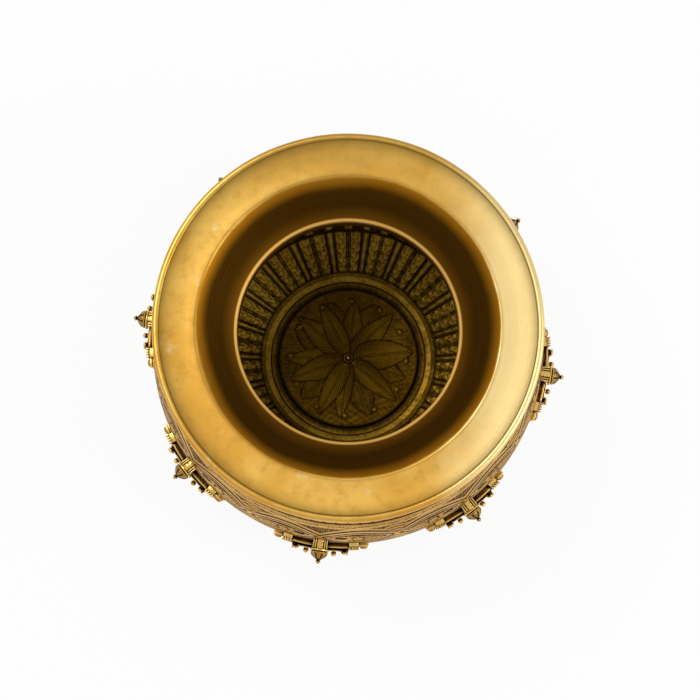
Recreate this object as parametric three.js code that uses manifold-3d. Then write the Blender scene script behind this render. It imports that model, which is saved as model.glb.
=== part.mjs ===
// A squat brass water pot (lota) for ritual use: a wide everted brim on a conical throat, a pinched neck,
// a low belly over a lotus bowl on a ring foot, a flower medallion on the inner floor, and eight cast
// shrine frames riveted round the belly, each with a ribbed lotus boss.
// Millimetres, +Z up, origin on the pot's axis in the plane that it stands on.
import * as THREE from "three";
import { mergeVertices } from "three/addons/utils/BufferGeometryUtils.js";
import Module from "manifold-3d";

const wasm = await Module();
wasm.setup();

// Sheet and joints
const sheet = 1.8; // wall of the three raised shells
const seatGap = 0.3; // solder film or working clearance between two seated pieces

// Brim, throat and neck
const brimRadius = 100;
const edgeRingWidth = 4; // radial width of the half-round ring soldered on the brim's edge
const edgeRingDepth = 6;
const edgeRingFlange = 2.4; // how far the ring reaches in under the lip
const edgeRingProud = 0.6; // its crest stands this far above the lip's edge
const edgeRingSag = 0.25; // its flange lies this much lower, because the lip sinks inward
const edgeRingTuck = 70; // degrees through which the ring's lower edge is rounded
const lipDish = 1.4; // the lip sinks by this much from its edge to the throat
const throatRadius = 78.2;
const throatRound = 2.4;
const throatDepth = 20.9; // from the throat's edge down to the neck's inner ridge
const throatSlope = 42; // degrees from level at which the cone leaves the lip
const neckSlope = 38; // and degrees from upright at which it reaches the neck
const coneReach = 7; // length over which the cone keeps either slope
const neckRadius = 57.6; // clear radius at the narrowest place
const neckRound = 2.2;
const spigotLength = 9; // the neck's straight end, which passes into the upper shell
const neckRingSection = 1.7; // radius of the round wire ring over the neck joint

// Upper shell
const bellyRadius = 107.6;
const shoulderRise = 68; // from the belly's widest line up to the neck hole
const collarBandHeight = 4.2; // plain raised band above the scroll frieze
const collarBandRise = 37; // from the belly up to the band's middle
const collarBandThickness = 0.8;
const collarBandClear = 1; // least distance from the band's edges to the next cut in the shell's curve
const lapLength = 2.5; // the bowl's edge rises this far inside the upper shell

// Frieze of the upper shell, drawn on it rolled out flat: x runs along the belly line from a shrine's
// middle, y up the shell's curve from the belly line
const friezeMiddle = 20;
const loopHeight = 11.3; // half of an almond loop's height; two loops run from one shrine to the next
const loopFullness = 0.72; // below 1 a loop is fuller than a sine
const bandWidth = 4.4; // of the raised band that draws the loops
const bandEdge = 0.6; // its sides slope in by this much
const leafLength = 28; // in the middle of each loop
const leafHeight = 12;
const leafFullness = 0.7;
const reliefEdge = 0.25; // how far a leaf stands out at its edge
const reliefHeight = 0.5; // and at its crest, and the bands
const reliefRoot = 0.9; // how deep a raised form is set into the sheet
const reliefClear = 0.5; // plain margin left round a shrine frame

// Bowl
const bowlDepth = 42.4; // from the belly down to the floor's upper face
const floorRadius = 44.3; // flat recess that holds the medallion
const ledgeRadius = 48; // the petals start at this radius
const ledgeRise = 1.7; // the ledge stands this far above the recess
const wallAngle = 27; // degrees from level at which the bowl's wall leaves the ledge
const wallReach = 42; // length over which the wall keeps that direction
const bellyTuck = 19; // length over which the wall falls straight from the belly

// Foot ring
const footHeight = 10.8; // from the standing plane to the underside of the floor
const footRadius = 63;
const footWaistRadius = 58.5;
const footInnerRadius = 53.5;
const footTread = 3; // height of the foot's plain lower edge
const footEdge = 1; // chamfer where the foot meets the ground
const footWaistHeight = 6.5;
const footCove = 2; // height of the step at the waist

// Medallion and its rivet
const medallionGap = 4.2; // dark recess left open round the medallion
const medallionThickness = 1.5;
const medallionEdgeRise = 0.5; // raised line at the medallion's edge
const medallionEdgeWidth = 1.2;
const centreShank = 1.6; // radii of the rivet through medallion and floor
const centreHead = 3;
const centreHeadRise = 1.8;
const centreTailRise = 1.3;

// Shrine frames: widths run along the belly line from the frame's middle, faces are measured out from
// the belly, and heights are measured up from the belly line. Below it a frame leans in with the bowl.
const shrineCount = 8;
const firstShrineAngle = -8; // degrees from +X
const frameLean = 0.35; // inward for each millimetre below the belly line
const plinthBottom = -19;
const plinthHeight = 5;
const plinthFace = 6.2;
const frameRoot = 16; // blocks start this far inside the belly; the cut to the shells makes the seat
const blockOverlap = 0.5; // neighbouring blocks run into each other by this much, so that they join
const wingEnd = 26;
const wingFace = 2.3;
const wingTop = 8;
const pilasterStart = 15.5;
const pilasterEnd = 20.6;
const pilasterFace = 4.2;
const pilasterTop = 9.5;
const fluteCount = 3;
const fluteDepth = 1.6;
const postStart = 11;
const postEnd = 15;
const postFace = 6.6;
const postDepth = 3;
const postTop = 1;
const panelThickness = 1.2;
const panelStandOff = 0.6; // from the belly out to the back of the niche panel
const panelTop = 4;
const barThickness = 1.2;
const barHeight = 2;
const rearBarFace = 2.9;
const rearBarTop = 7;
const frontBarFace = 5.6;
const frontBarTop = -2.5;
const bracketHalfWidth = 4;
const bracketFace = 4.2;
const bracketTop = 12.4;
const bracketBottom = 1.5;
const beadPlace = 7.3; // from the frame's middle to the small bead on the front bar
const beadRadius = 1.55;
const beadNeck = 0.8;
const flowerRadius = 5.2;
const flowerThickness = 1.6;
const flowerEdge = 0.8; // thickness at the flower's edge
const flowerHeight = -8.8; // middle of the niche's flower

// Lotus boss, turned about an axis that points straight out from the pot
const bossHeight = 7; // its axis above the belly line
const bossCollarRadius = 5.4;
const bossCollarThickness = 1.2;
const bossDomeRadius = 4.9;
const bossDomeLength = 4;
const bossNeckRadius = 1;
const bossBeadRadius = 1.45;
const bossPinRadius = 1.2;
const bossPinLength = 3.2;

// Frame rivets, one through each wing
const rivetPlace = 23.3; // from the frame's middle along the belly line
const rivetHeight = 5.4;
const rivetShank = 1.1;
const rivetHead = 2.1;
const rivetHeadRise = 1;

// How finely round shapes are cut
const turns = 40;
const bossTurns = 10;
const rivetTurns = 6;
const shoulderSteps = 8;
const bowlSteps = 7;
const coneSteps = 3;
const ringSteps = 6;
const roundSteps = 2; // of a small rounding
const domeSteps = 3;
const smallDomeSteps = 2; // of frame rivets, beads and the niche's flower
const loopSteps = 8;
const leafSteps = 4;
const weld = 1e-4; // corners closer than this are one

// Heights that follow from the sizes above
const floorHeight = footHeight + sheet;
const bellyHeight = floorHeight + bowlDepth;
const shoulderTop = bellyHeight + shoulderRise;
const neckHeight = shoulderTop + 2 * neckRingSection + 2 * seatGap; // the throat becomes the spigot here
const throatHeight = neckHeight + throatDepth;
const lipEdgeHeight = throatHeight + lipDish;
const lipEdgeRadius = brimRadius - edgeRingWidth;
const neckHoleRadius = neckRadius + sheet + seatGap;
const medallionRadius = floorRadius - medallionGap;

const point = (x, y) => new THREE.Vector2(x, y);
const degrees = THREE.MathUtils.degToRad;

// Angle on the pot for a distance measured along the belly line
const alongBelly = (distance) => distance / bellyRadius;

const brass = (color, roughness) => new THREE.MeshStandardMaterial({ color, roughness, metalness: 1 });
const burnished = () => brass(0xd2a850, 0.3);
const patinated = () => brass(0x9c7832, 0.45);
const castBrass = () => brass(0xb48c3c, 0.4);
const rivetBrass = () => brass(0xc89b46, 0.35);

// Outline helpers

// Points of an arc, angles in radians
function arc(centreX, centreY, radius, from, to, steps) {
  const points = [];
  for (let i = 0; i <= steps; i += 1) {
    const angle = from + ((to - from) * i) / steps;
    points.push(point(centreX + radius * Math.cos(angle), centreY + radius * Math.sin(angle)));
  }
  return points;
}

// A quarter of an ellipse, from the edge of a domed head to its crown on the axis
function dome(radius, base, rise, steps = domeSteps) {
  const points = [];
  for (let i = 0; i < steps; i += 1) {
    const angle = ((Math.PI / 2) * i) / steps;
    points.push(point(radius * Math.cos(angle), base + rise * Math.sin(angle)));
  }
  return [...points, point(0, base + rise)];
}

// Each point of an open line moved sideways; a positive distance moves it to the left of its direction
function offset(line, distance) {
  return line.map((p, i) => {
    const along = line[Math.min(i + 1, line.length - 1)].clone().sub(line[Math.max(i - 1, 0)]).normalize();
    return point(p.x - along.y * distance, p.y + along.x * distance);
  });
}

// Closed outline of a sheet whose one face is the given line
function sheetOutline(line, distance) {
  return [...line, ...offset(line, distance).reverse()];
}

// Solid helpers

function solidOf(geometry) {
  geometry.deleteAttribute("normal");
  geometry.deleteAttribute("uv");
  const merged = mergeVertices(geometry, weld);
  const corners = Array.from(merged.index.array);
  const triVerts = [];
  for (let i = 0; i < corners.length; i += 3) {
    const [a, b, c] = corners.slice(i, i + 3);
    if (a !== b && b !== c && c !== a) triVerts.push(a, b, c);
  }
  const vertProperties = merged.attributes.position.array;
  const mesh = new wasm.Mesh({ numProp: 3, vertProperties, triVerts: new Uint32Array(triVerts) });
  return new wasm.Manifold(mesh);
}

function geometryOf(solid) {
  const { numProp, vertProperties, triVerts } = solid.getMesh();
  const positions = new Float32Array(triVerts.length * 3);
  triVerts.forEach((vertex, i) => {
    positions.set(vertProperties.subarray(vertex * numProp, vertex * numProp + 3), i * 3);
  });
  const geometry = new THREE.BufferGeometry();
  geometry.setAttribute("position", new THREE.BufferAttribute(positions, 3));
  geometry.computeVertexNormals();
  return geometry;
}

// A closed outline in radius and height, turned about the Z axis
function turned(outline, segments = turns) {
  const points = THREE.ShapeUtils.area(outline) < 0 ? [...outline].reverse() : [...outline];
  const leavesAxis = points.findIndex((p, i) => p.x === 0 && points[(i + 1) % points.length].x > 0);
  const start = Math.max(leavesAxis, 0);
  const ordered = [...points.slice(start), ...points.slice(0, start)];
  if (leavesAxis < 0) ordered.push(ordered[0].clone());
  const geometry = new THREE.LatheGeometry(ordered, segments);
  geometry.rotateX(Math.PI / 2);
  geometry.rotateZ(-Math.PI / 2);
  return geometry;
}

// A turned outline laid along +X at a height: its own axis points straight out from the pot
function turnedOutward(outline, segments, reach, height) {
  const geometry = turned(outline, segments);
  geometry.rotateY(Math.PI / 2);
  geometry.translate(reach, 0, height);
  return geometry;
}

// How far a frame has leaned in at a height above (or below) the belly line
const leanAt = (rise) => Math.min(0, rise) * frameLean;

// A block of a frame, which follows the pot's curve: from and to along the belly line, inner and outer as
// distances out from the belly, bottom and top as heights above the belly line
function frameBlock(from, to, inner, outer, bottom, top) {
  const rises = bottom < 0 && top > 0 ? [bottom, 0, top] : [bottom, top];
  const start = alongBelly(from);
  const end = alongBelly(to);
  const flats = Math.ceil((end - start) / ((2 * Math.PI) / turns));
  const shape = new THREE.Shape([
    ...arc(0, 0, bellyRadius + outer, start, end, flats),
    ...arc(0, 0, bellyRadius + inner, end, start, flats),
  ]);
  const steps = rises.length - 1;
  const geometry = new THREE.ExtrudeGeometry(shape, { depth: steps, steps, bevelEnabled: false });
  const corners = geometry.attributes.position;
  for (let i = 0; i < corners.count; i += 1) {
    const rise = rises[Math.round(corners.getZ(i))];
    const radius = Math.hypot(corners.getX(i), corners.getY(i));
    const share = (radius + leanAt(rise)) / radius;
    corners.setXYZ(i, corners.getX(i) * share, corners.getY(i) * share, bellyHeight + rise);
  }
  return solidOf(geometry);
}

// A form through cross-sections in order, each a row of corners. It runs back into its first
// cross-section, or its two ends are flat.
function lofted(sections, endless = false) {
  const corners = sections.flat();
  const count = sections[0].length;
  const end = corners.length - count;
  const faces = [];
  for (let from = 0; from < (endless ? corners.length : end); from += count) {
    const to = (from + count) % corners.length;
    for (let i = 0; i < count; i += 1) {
      const next = (i + 1) % count;
      faces.push(from + i, from + next, to + next, from + i, to + next, to + i);
    }
  }
  for (let i = 1; !endless && i + 1 < count; i += 1) {
    faces.push(0, i + 1, i, end, end + i, end + i + 1);
  }
  const geometry = new THREE.BufferGeometry().setFromPoints(corners);
  geometry.setIndex(faces);
  return solidOf(geometry);
}

const joined = (solids) => solids.reduce((whole, next) => whole.add(next));

// Lines that several pieces share

// Outer face of the upper shell, from the belly line up to the neck hole
function shoulderLine() {
  const line = [];
  for (let i = 0; i <= shoulderSteps; i += 1) {
    const angle = ((Math.PI / 2) * i) / shoulderSteps;
    const x = neckHoleRadius + (bellyRadius - neckHoleRadius) * Math.cos(angle);
    line.push(point(x, bellyHeight + shoulderRise * Math.sin(angle)));
  }
  return line;
}

// Radius of the upper shell's outer face at a height above the belly line
function shoulderRadius(rise) {
  const share = rise / shoulderRise;
  return neckHoleRadius + (bellyRadius - neckHoleRadius) * Math.sqrt(1 - share * share);
}

// Inner face of the bowl's wall, from the ledge up to the belly line
function bowlLine() {
  const start = point(ledgeRadius, floorHeight + ledgeRise);
  const rimRadius = shoulderRadius(lapLength) - 2 * sheet - seatGap;
  const slope = degrees(wallAngle);
  const curve = new THREE.CubicBezierCurve(
    start,
    point(start.x + wallReach * Math.cos(slope), start.y + wallReach * Math.sin(slope)),
    point(rimRadius, bellyHeight - bellyTuck),
    point(rimRadius, bellyHeight),
  );
  return curve.getPoints(bowlSteps);
}

const shoulder = shoulderLine();
const bowlInside = bowlLine();
const bowlOutside = offset(bowlInside, -sheet);

// Space that the shells fill, with the seat's clearance round it
function bodySpace() {
  const below = offset(bowlOutside, -seatGap);
  const above = offset(shoulder, -seatGap);
  const bottom = footHeight - seatGap;
  const outline = [
    point(0, bottom),
    point(ledgeRadius - sheet, bottom),
    ...below,
    point(above[0].x, bellyHeight - seatGap),
    ...above,
    point(0, shoulderTop + seatGap),
  ];
  return solidOf(turned(outline));
}

const body = bodySpace();

// Raised forms of the frieze

const loopLength = (Math.PI * bellyRadius) / shrineCount;
const shoulderCurve = new THREE.EllipseCurve(
  neckHoleRadius,
  bellyHeight,
  bellyRadius - neckHoleRadius,
  shoulderRise,
  0,
  Math.PI / 2,
);

// A place of the frieze on the pot, standing out from the shell
function friezePoint(x, y, stand) {
  const share = (friezeMiddle + y) / shoulderCurve.getLength();
  const place = shoulderCurve.getPointAt(share);
  const slope = shoulderCurve.getTangentAt(share);
  const radius = place.x + stand * slope.y;
  const angle = alongBelly(x);
  return new THREE.Vector3(radius * Math.cos(angle), radius * Math.sin(angle), place.y - stand * slope.x);
}

// A band winds round the whole pot in waves, and the other band is its mirror image
function friezeBand(mirror) {
  const line = [];
  for (let i = 0; i < 2 * shrineCount; i += 1) {
    const side = i % 2 === 0 ? mirror : -mirror;
    arc(0, 0, 1, Math.PI, 0, loopSteps).slice(0, -1).forEach((p) => {
      const share = (1 + p.x) / 2;
      line.push(point((i + share) * loopLength, side * loopHeight * Math.sin(Math.PI * share) ** loopFullness));
    });
  }
  const rows = [
    [-bandWidth / 2, -reliefRoot],
    [bandWidth / 2, -reliefRoot],
    [bandWidth / 2 - bandEdge, reliefHeight],
    [bandEdge - bandWidth / 2, reliefHeight],
  ].map(([aside, stand]) => offset(line, aside).map((p) => friezePoint(p.x, p.y, stand)));
  return lofted(line.map((p, i) => rows.map((row) => row[i])), true);
}

function friezeLeaf(middle) {
  const sections = arc(0, 0, 1, Math.PI, 0, leafSteps + 2).slice(1, -1).map((p) => {
    const half = (leafHeight / 2) * (1 - p.x * p.x) ** leafFullness;
    const row = [[-half, -reliefRoot], [half, -reliefRoot], [half, reliefEdge], [0, reliefHeight], [-half, reliefEdge]];
    return row.map(([y, stand]) => friezePoint(middle + (p.x * leafLength) / 2, y, stand));
  });
  return lofted(sections);
}

// The plain place behind a frame
function frameSeat() {
  const reach = wingEnd + reliefClear;
  return frameBlock(-reach, reach, -frameRoot, plinthFace, -plinthHeight, bracketTop + reliefClear);
}

function frieze() {
  const seats = [];
  const forms = [friezeBand(1), friezeBand(-1)];
  for (let i = 0; i < shrineCount; i += 1) {
    const turn = [0, 0, (360 * i) / shrineCount];
    forms.push(...[-1, 1].map((side) => friezeLeaf((side * loopLength) / 2).rotate(turn)));
    seats.push(frameSeat().rotate(turn));
  }
  return joined(forms).subtract(joined(seats));
}

// Pieces turned about the pot's axis

function edgeRing() {
  const top = lipEdgeHeight + edgeRingProud;
  const inner = lipEdgeRadius + seatGap;
  const round = (brimRadius - inner) / 2;
  const underLip = lipEdgeHeight - sheet - seatGap - edgeRingSag;
  const bottom = top - edgeRingDepth;
  return turned([
    point(lipEdgeRadius - edgeRingFlange, underLip),
    point(lipEdgeRadius - edgeRingFlange, underLip - sheet / 2),
    point(inner, bottom),
    ...arc(brimRadius - round, bottom + round, round, -degrees(edgeRingTuck), 0, roundSteps),
    ...arc(brimRadius - round, top - round, round, 0, Math.PI, ringSteps),
    point(inner, underLip),
  ]);
}

// The throat's upper face, from the lip's edge in and down to the spigot's end
function neckLine() {
  const throatTurn = degrees(throatSlope);
  const neckTurn = degrees(neckSlope);
  const level = Math.PI / 2; // the direction from an arc's middle to a level stretch
  const throatStart = throatRadius + throatRound / 4;
  const throatBend = throatHeight - throatRound;
  const upper = arc(throatStart, throatBend, throatRound, level, level + throatTurn, roundSteps);
  const lower = arc(neckRadius + neckRound, neckHeight, neckRound, level + neckTurn, Math.PI, roundSteps);
  const first = upper[upper.length - 1];
  const last = lower[0];
  const cone = new THREE.CubicBezierCurve(
    first,
    point(first.x - coneReach * Math.cos(throatTurn), first.y - coneReach * Math.sin(throatTurn)),
    point(last.x + coneReach * Math.cos(neckTurn), last.y + coneReach * Math.sin(neckTurn)),
    last,
  );
  const lip = new THREE.QuadraticBezierCurve(
    point(lipEdgeRadius, lipEdgeHeight),
    point((lipEdgeRadius + upper[0].x) / 2, throatHeight),
    upper[0],
  );
  return [
    ...lip.getPoints(roundSteps).slice(0, -1),
    ...upper,
    ...cone.getPoints(coneSteps).slice(1, -1),
    ...lower,
    point(neckRadius, neckHeight - spigotLength),
  ];
}

const neck = () => turned(sheetOutline(neckLine(), sheet));

function neckRing() {
  const centreRadius = neckHoleRadius + neckRingSection;
  const centreHeight = shoulderTop + seatGap + neckRingSection;
  const outline = arc(centreRadius, centreHeight, neckRingSection, 0, 2 * Math.PI, ringSteps);
  return turned(outline.slice(0, -1));
}

function upperShell() {
  const inside = offset(shoulder, sheet);
  inside[inside.length - 1].x = neckHoleRadius;
  const bandAt = (rise, stand) => point(shoulderRadius(rise) + stand, bellyHeight + rise);
  const lowEdge = collarBandRise - collarBandHeight / 2;
  const highEdge = collarBandRise + collarBandHeight / 2;
  const bandEdge = collarBandThickness / 2;
  const band = [
    bandAt(lowEdge, 0),
    bandAt(lowEdge + bandEdge, collarBandThickness),
    bandAt(highEdge - bandEdge, collarBandThickness),
    bandAt(highEdge, 0),
  ];
  const below = shoulder.filter((p) => p.y < bellyHeight + lowEdge - collarBandClear);
  const above = shoulder.filter((p) => p.y > bellyHeight + highEdge + collarBandClear);
  const shell = solidOf(turned([...below, ...band, ...above, ...inside.reverse()]));
  return shell.add(frieze()).subtract(joined(rivetHoles()));
}

function bowl() {
  const recess = point(floorRadius, floorHeight);
  const ledge = point(floorRadius + seatGap, bowlInside[0].y - seatGap);
  const top = bellyHeight + lapLength;
  const rimInside = bowlInside[bowlInside.length - 1].x;
  const hole = centreShank + seatGap;
  return turned([
    point(hole, floorHeight),
    recess,
    ledge,
    ...bowlInside,
    point(rimInside, top),
    point(rimInside + sheet, top),
    ...[...bowlOutside].reverse(),
    point(ledgeRadius - sheet, footHeight),
    point(hole, footHeight),
  ]);
}

function footRing() {
  const top = bellyHeight;
  const blank = turned([
    point(footInnerRadius, 0),
    point(footRadius - footEdge, 0),
    point(footRadius, footEdge),
    point(footRadius, footTread),
    point(footWaistRadius + footEdge, footWaistHeight),
    point(footWaistRadius, footWaistHeight + footCove),
    point(footWaistRadius + footCove, top),
    point(footInnerRadius, top),
  ]);
  return solidOf(blank).subtract(body);
}

function medallion() {
  const bottom = floorHeight + seatGap;
  const top = bottom + medallionThickness;
  const hole = centreShank + seatGap;
  return turned([
    point(hole, bottom),
    point(medallionRadius, bottom),
    point(medallionRadius, top + medallionEdgeRise),
    point(medallionRadius - medallionEdgeWidth, top + medallionEdgeRise),
    point(medallionRadius - medallionEdgeWidth - medallionEdgeRise, top),
    point(hole, top),
  ]);
}

function centreRivet() {
  const headBottom = floorHeight + medallionThickness + 2 * seatGap;
  const tailTop = footHeight - seatGap;
  const head = dome(centreHead, headBottom, centreHeadRise);
  const tail = dome(centreHead, tailTop, -centreTailRise).reverse();
  return turned([...tail, point(centreShank, tailTop), point(centreShank, headBottom), ...head], bossTurns);
}

// Pieces of one shrine, made at the shrine that faces +X

const plinthTop = plinthBottom + plinthHeight;

function pilaster(side) {
  const pitch = (pilasterEnd - pilasterStart) / (fluteCount + 0.5);
  const span = (start, end) => [side * start, side * end].sort((a, b) => a - b);
  const faces = [-frameRoot, pilasterFace];
  const block = frameBlock(...span(pilasterStart, pilasterEnd), ...faces, plinthBottom, pilasterTop);
  const flutes = [];
  for (let i = 0; i < fluteCount; i += 1) {
    const start = pilasterStart + pitch * (i + 0.5);
    const cut = [pilasterFace - fluteDepth, pilasterFace + sheet, plinthTop, pilasterTop + sheet];
    flutes.push(frameBlock(...span(start, start + pitch / 2), ...cut));
  }
  return block.subtract(joined(flutes));
}

// A small round bead that points out from the front bar
function frontBead(side) {
  const stem = beadRadius / 2;
  const rise = frontBarTop - barHeight / 2;
  const outline = [
    point(0, -beadNeck),
    point(stem, -beadNeck),
    point(stem, beadNeck),
    ...dome(beadRadius, beadNeck + beadRadius, beadRadius, smallDomeSteps),
  ];
  const reach = bellyRadius + frontBarFace + leanAt(rise);
  const geometry = turnedOutward(outline, rivetTurns, reach, bellyHeight + rise);
  geometry.rotateZ(alongBelly(side * beadPlace));
  return solidOf(geometry);
}

// A low flower on the niche panel, square to the panel's lean
function nicheFlower() {
  const outline = [
    point(0, -panelThickness / 2),
    point(flowerRadius, -panelThickness / 2),
    ...dome(flowerRadius, flowerEdge, flowerThickness - flowerEdge, smallDomeSteps),
  ];
  const geometry = turnedOutward(outline, rivetTurns, 0, 0);
  geometry.rotateY(Math.atan(frameLean));
  const reach = bellyRadius + panelStandOff + panelThickness + leanAt(flowerHeight);
  geometry.translate(reach, 0, bellyHeight + flowerHeight);
  return solidOf(geometry);
}

function pinHole() {
  const radius = bossPinRadius + seatGap;
  const depth = bossPinLength + seatGap;
  const outline = [point(0, 0), point(radius, 0), point(radius, 2 * depth), point(0, 2 * depth)];
  const start = bellyRadius + bracketFace - depth;
  return solidOf(turnedOutward(outline, rivetTurns, start, bellyHeight + bossHeight));
}

function shrineSolid() {
  const bay = pilasterStart + blockOverlap;
  const foot = plinthTop - blockOverlap;
  const parts = [
    frameBlock(-bay, bay, -frameRoot, plinthFace, plinthBottom, plinthTop),
    frameBlock(-bay, bay, panelStandOff, panelStandOff + panelThickness, foot, panelTop),
    frameBlock(-bay, bay, rearBarFace - barThickness, rearBarFace, rearBarTop - barHeight, rearBarTop),
    frameBlock(-bracketHalfWidth, bracketHalfWidth, -frameRoot, bracketFace, bracketBottom, bracketTop),
    nicheFlower(),
  ];
  const frontBar = [frontBarFace - barThickness, frontBarFace, frontBarTop - barHeight, frontBarTop];
  parts.push(frameBlock(-postStart - blockOverlap, postStart + blockOverlap, ...frontBar));
  for (const side of [-1, 1]) {
    const span = (start, end) => [side * start, side * end].sort((a, b) => a - b);
    parts.push(
      frameBlock(...span(pilasterEnd - blockOverlap, wingEnd), -frameRoot, wingFace, plinthBottom, wingTop),
      frameBlock(...span(postStart, postEnd), postFace - postDepth, postFace, foot, postTop),
      pilaster(side),
      frontBead(side),
    );
  }
  return joined(parts).subtract(joined([body, pinHole(), ...sideRivetHoles()]));
}

function boss() {
  const domeStart = bossCollarThickness;
  const domeEnd = domeStart + bossDomeLength;
  const outline = [
    point(0, -bossPinLength),
    point(bossPinRadius, -bossPinLength),
    point(bossPinRadius, 0),
    point(bossCollarRadius, 0),
    point(bossCollarRadius, domeStart),
    ...dome(bossDomeRadius, domeStart, bossDomeLength).slice(0, -1),
    point(bossNeckRadius, domeEnd),
    ...dome(bossBeadRadius, domeEnd + bossBeadRadius, bossBeadRadius),
  ];
  return turnedOutward(outline, bossTurns, bellyRadius + bracketFace + seatGap, bellyHeight + bossHeight);
}

// Distance from the pot's axis to the inner face of the upper shell's flats at the rivets
const rivetWall = () => shoulderRadius(rivetHeight + rivetHead) * Math.cos(Math.PI / turns) - sheet;

function rivet() {
  const start = rivetWall() - seatGap;
  const headBottom = bellyRadius + wingFace + seatGap - start;
  const outline = [
    ...dome(rivetHead, 0, -rivetHeadRise, smallDomeSteps).reverse(),
    point(rivetShank, 0),
    point(rivetShank, headBottom),
    ...dome(rivetHead, headBottom, rivetHeadRise, smallDomeSteps),
  ];
  return turnedOutward(outline, rivetTurns, start, bellyHeight + rivetHeight);
}

function rivetHole(angle) {
  const radius = rivetShank + seatGap;
  const length = bellyRadius;
  const outline = [point(0, 0), point(radius, 0), point(radius, length), point(0, length)];
  const geometry = turnedOutward(outline, rivetTurns, bellyRadius / 2, bellyHeight + rivetHeight);
  geometry.rotateZ(angle);
  return solidOf(geometry);
}

const sideRivetHoles = () => [-1, 1].map((side) => rivetHole(side * alongBelly(rivetPlace)));
const shrineAngle = (index) => (2 * Math.PI * index) / shrineCount;

function rivetHoles() {
  const holes = [];
  for (let i = 0; i < shrineCount; i += 1) {
    holes.push(...[-1, 1].map((side) => rivetHole(shrineAngle(i) + side * alongBelly(rivetPlace))));
  }
  return holes;
}

// Assembly

const lota = new THREE.Group();
const pot = new THREE.Group();
pot.rotation.z = degrees(firstShrineAngle);
lota.add(pot);

function place(name, geometry, material, angle = 0) {
  const mesh = new THREE.Mesh(geometry, material);
  mesh.name = name;
  mesh.rotation.z = angle;
  pot.add(mesh);
}

place("rim_edge_ring", edgeRing(), burnished());
place("neck_funnel", neck(), burnished());
place("neck_ring", neckRing(), burnished());
place("shoulder_shell", geometryOf(upperShell()), patinated());
place("bowl_shell", bowl(), patinated());
place("foot_ring", geometryOf(footRing()), patinated());
place("floor_medallion", medallion(), patinated());
place("centre_rivet", centreRivet(), rivetBrass());

const shrineGeometry = geometryOf(shrineSolid());
for (let i = 0; i < shrineCount; i += 1) {
  const angle = shrineAngle(i);
  const number = i + 1;
  place("shrine_frame_" + number, shrineGeometry.clone(), castBrass(), angle);
  place("lotus_boss_" + number, boss(), castBrass(), angle);
  place("frame_rivet_" + number + "_right", rivet(), rivetBrass(), angle - alongBelly(rivetPlace));
  place("frame_rivet_" + number + "_left", rivet(), rivetBrass(), angle + alongBelly(rivetPlace));
}

export default lota;
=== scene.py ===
# %% [markdown]
# # A brass lota with eight shrine frames
# A lota is the squat water pot of South Asian households and rites. This one has a wide burnished brim,
# a pinched neck, a chased and repousse belly over a bowl of lotus petals, and eight small cast shrines
# riveted round its widest line. The solid model comes first and gives every place and size. This file
# then dresses it: it makes each visible piece again with all its ornament and gives it a brass finish.

# %% Load the solid model
import math
import bpy
import numpy as np
from mathutils import Matrix


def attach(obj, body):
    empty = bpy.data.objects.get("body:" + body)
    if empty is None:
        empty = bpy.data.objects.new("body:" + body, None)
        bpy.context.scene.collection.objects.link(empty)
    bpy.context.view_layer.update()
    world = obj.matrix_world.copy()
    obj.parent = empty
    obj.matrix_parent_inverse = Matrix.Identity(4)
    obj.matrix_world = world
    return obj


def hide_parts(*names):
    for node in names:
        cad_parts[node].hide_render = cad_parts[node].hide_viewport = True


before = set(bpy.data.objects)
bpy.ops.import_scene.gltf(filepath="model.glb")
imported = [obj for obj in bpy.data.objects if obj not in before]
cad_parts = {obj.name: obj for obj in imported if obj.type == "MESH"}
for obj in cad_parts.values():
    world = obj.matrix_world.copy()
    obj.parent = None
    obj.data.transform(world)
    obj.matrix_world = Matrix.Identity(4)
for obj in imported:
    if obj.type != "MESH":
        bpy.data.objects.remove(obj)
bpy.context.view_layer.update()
MM = 0.001
print("solid pieces:", len(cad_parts))

# %% [markdown]
# ## The camera
# The picture was taken from almost straight above, 7.35 degrees off the pot's axis, from about a metre.
# A camera without shift and with a long lens gives the same narrow view.

# %% Camera
TILT = math.radians(7.35)
SENSOR = 36
PICTURE_PIXELS = 700
FOCAL_PIXELS = 1910
camera_data = bpy.data.cameras.new("photo_view")
camera_data.sensor_width = SENSOR
camera_data.lens = SENSOR * FOCAL_PIXELS / PICTURE_PIXELS
camera = bpy.data.objects.new("photo_view", camera_data)
camera.location = (0.00097, -0.1365, 1.1096)
camera.rotation_euler = (TILT, 0, 0)
bpy.context.scene.collection.objects.link(camera)
bpy.context.scene.camera = camera
print("lens:", round(camera_data.lens, 2), "mm")

# %% [markdown]
# ## Finishes as sums of nodes
# Old brass changes all over: bright where hands and cloths rub it, brown in every hollow. Such a finish
# is a sum of masks. Written as node after node it is hard to read, so a small class lets a mask be
# written as an expression, and each operator in it adds its Math node.

# %% A number that flows through a material
class Number:
    """A socket that carries a number. Sums and products of it add Math nodes."""

    def __init__(self, finish, socket):
        self.finish = finish
        self.socket = socket

    def maths(self, operation, first, second):
        return self.finish.node("Math", {"operation": operation}, {0: first, 1: second})

    def __add__(self, other):
        return self.maths("ADD", self, other)

    __radd__ = __add__

    def __sub__(self, other):
        return self.maths("SUBTRACT", self, other)

    def __rsub__(self, other):
        return self.maths("SUBTRACT", other, self)

    def __mul__(self, other):
        return self.maths("MULTIPLY", self, other)

    __rmul__ = __mul__

    def between(self, low, high):
        """0 below low, 1 above high, and a soft step from one to the other."""
        settings = {"interpolation_type": "SMOOTHSTEP"}
        return self.finish.node("MapRange", settings, {"Value": self, "From Min": low, "From Max": high})


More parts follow.
